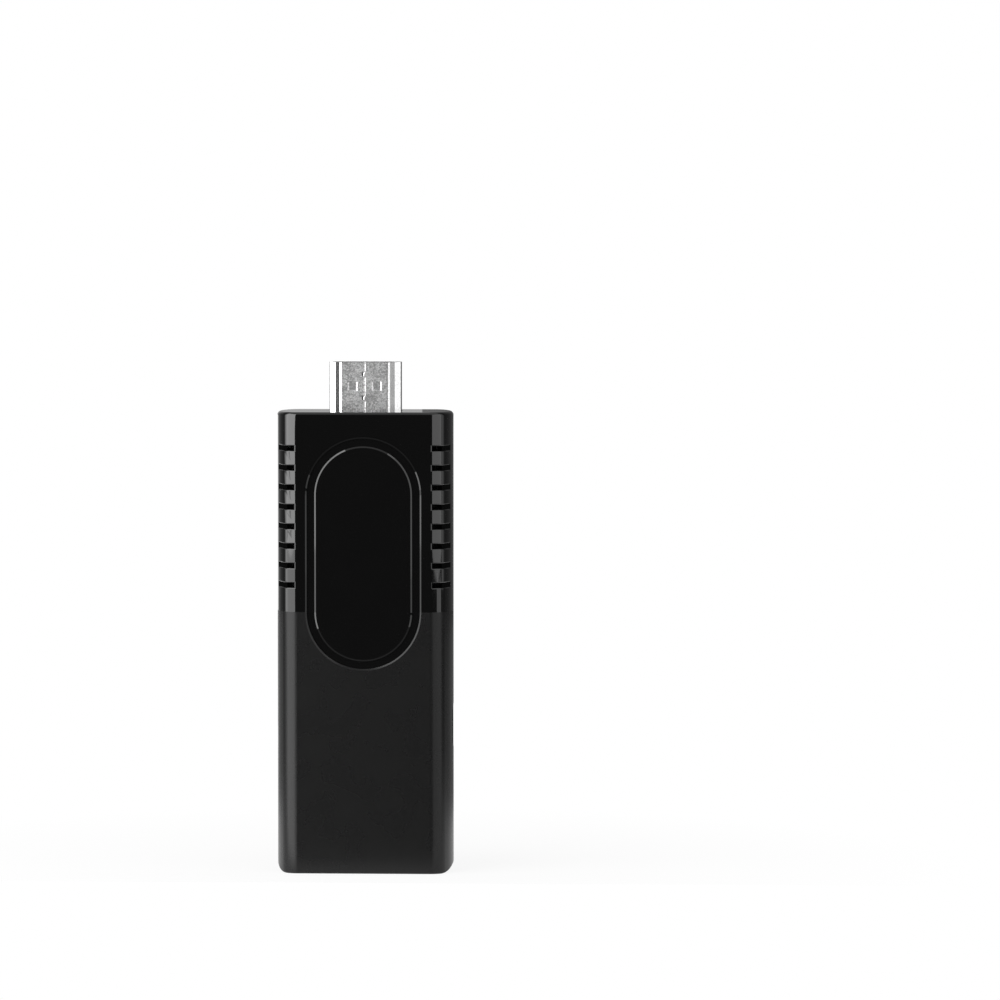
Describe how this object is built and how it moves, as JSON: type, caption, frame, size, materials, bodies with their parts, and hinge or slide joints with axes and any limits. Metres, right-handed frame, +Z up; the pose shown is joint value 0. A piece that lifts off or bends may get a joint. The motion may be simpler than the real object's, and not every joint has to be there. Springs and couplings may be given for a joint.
{
  "type": "streaming stick",
  "caption": "Slim black television streaming stick with a bare steel video plug, vented glossy upper front, matte lower front, stadium-shaped plate and sockets in its end and side.",
  "frame": {"origin": "middle of the lower end, on the surface that the stick stands on", "axes": "+Z up towards the video plug's tip, -Y out of the front face, +X to the right seen from the front"},
  "size_m": [0.034, 0.014, 0.0984],
  "materials": {
    "case_black": "black ABS, glossy above a straight boundary and fine matte below",
    "plate_gloss": "high-gloss black",
    "tape": "thin foam tape",
    "label_film": "plain satin film",
    "key_plastic": "fine matte",
    "clear_plastic": "clear acrylic",
    "plug_steel": "bright nickel-plated sheet steel",
    "socket_steel": "tin-plated sheet steel",
    "contact_gold": "gold-plated copper alloy",
    "core_plastic": "moulded insulator",
    "board_black": "glass-fibre board under a black solder mask",
    "chip_black": "moulded epoxy",
    "pad_grey": "soft silicone pad",
    "spreader_aluminium": "plain sheet",
    "inductor_grey": "pressed ferrite",
    "capacitor_tan": "fired ceramic",
    "crystal_steel": "plated can",
    "led_white": "milky lens",
    "screw_steel": "black-zinc steel"
  },
  "bodies": {
    "stick": {"front_cover": "case_black", "rear_cover": "case_black", "decor_plate": "plate_gloss", "plate_adhesive": "tape", "rear_label": "label_film", "case_screws": "screw_steel", "main_board": "board_black", "hdmi_shell": "plug_steel", "hdmi_insulator": "core_plastic", "hdmi_contacts_front": "contact_gold", "hdmi_contacts_rear": "contact_gold", "hdmi_bracket": "socket_steel", "usb_shell": "socket_steel", "usb_insulator": "core_plastic", "usb_contacts": "contact_gold", "power_shell": "socket_steel", "power_insulator": "core_plastic", "power_contacts": "contact_gold", "reset_switch": "chip_black", "light_guide": "clear_plastic", "status_led": "led_white", "processor": "chip_black", "thermal_pad": "pad_grey", "heat_spreader": "spreader_aluminium", "memory_chips": "chip_black", "flash_chip": "chip_black", "wifi_module": "board_black", "wifi_shield": "socket_steel", "antenna": "socket_steel", "regulator": "chip_black", "power_inductors": "inductor_grey", "crystal": "crystal_steel", "capacitors": "capacitor_tan"},
    "reset_key": {"reset_button": "key_plastic", "reset_stem": "key_plastic"}
  },
  "joints": [
    {"name": "reset_press", "type": "slide", "parent": "stick", "child": "reset_key", "axis": [1, 0, 0], "range_m": [0, 0.00035], "stiffness_N_per_m": 4000}
  ]
}
